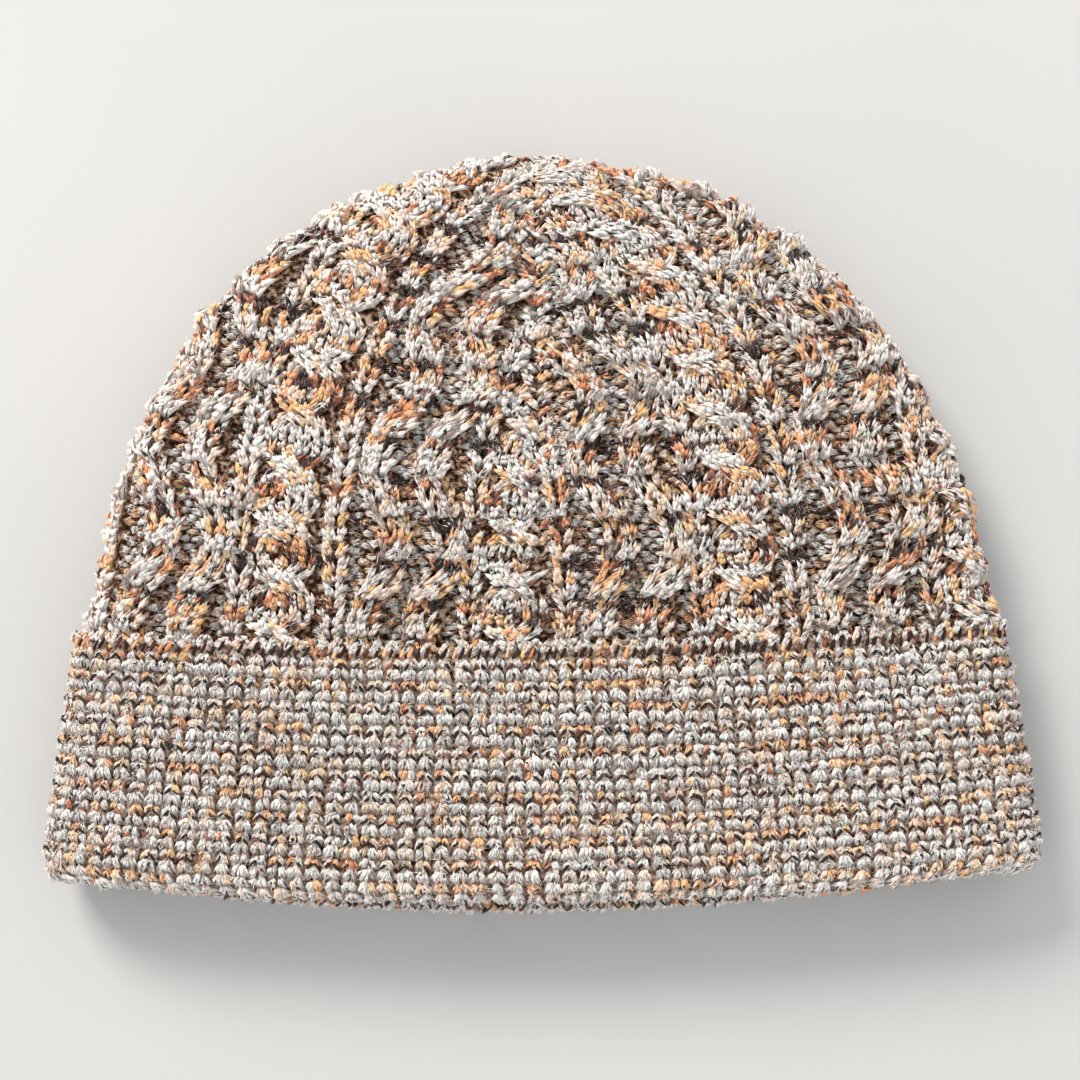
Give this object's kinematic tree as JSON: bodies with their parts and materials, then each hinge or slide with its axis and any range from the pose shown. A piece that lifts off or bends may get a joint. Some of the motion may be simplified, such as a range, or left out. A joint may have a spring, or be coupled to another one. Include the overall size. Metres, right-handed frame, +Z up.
{
  "type": "watch cap",
  "caption": "Cable-knitted wool watch cap with a turned-up ribbed cuff, lying flat with its opening clear.",
  "frame": {"origin": "middle of the cap's bounding box on the surface that it lies on", "axes": "+X across the cap, +Y from the opening to the top of the crown, +Z up from the surface"},
  "size_m": [0.251, 0.195, 0.0319],
  "materials": {
    "crown_wool": "heathered cable-knitted wool, matt and slightly hairy",
    "cuff_wool": "heathered rib-knitted wool, matt and slightly hairy"
  },
  "bodies": {
    "root": {"crown": "crown_wool", "cuff": "cuff_wool"}
  },
  "joints": []
}
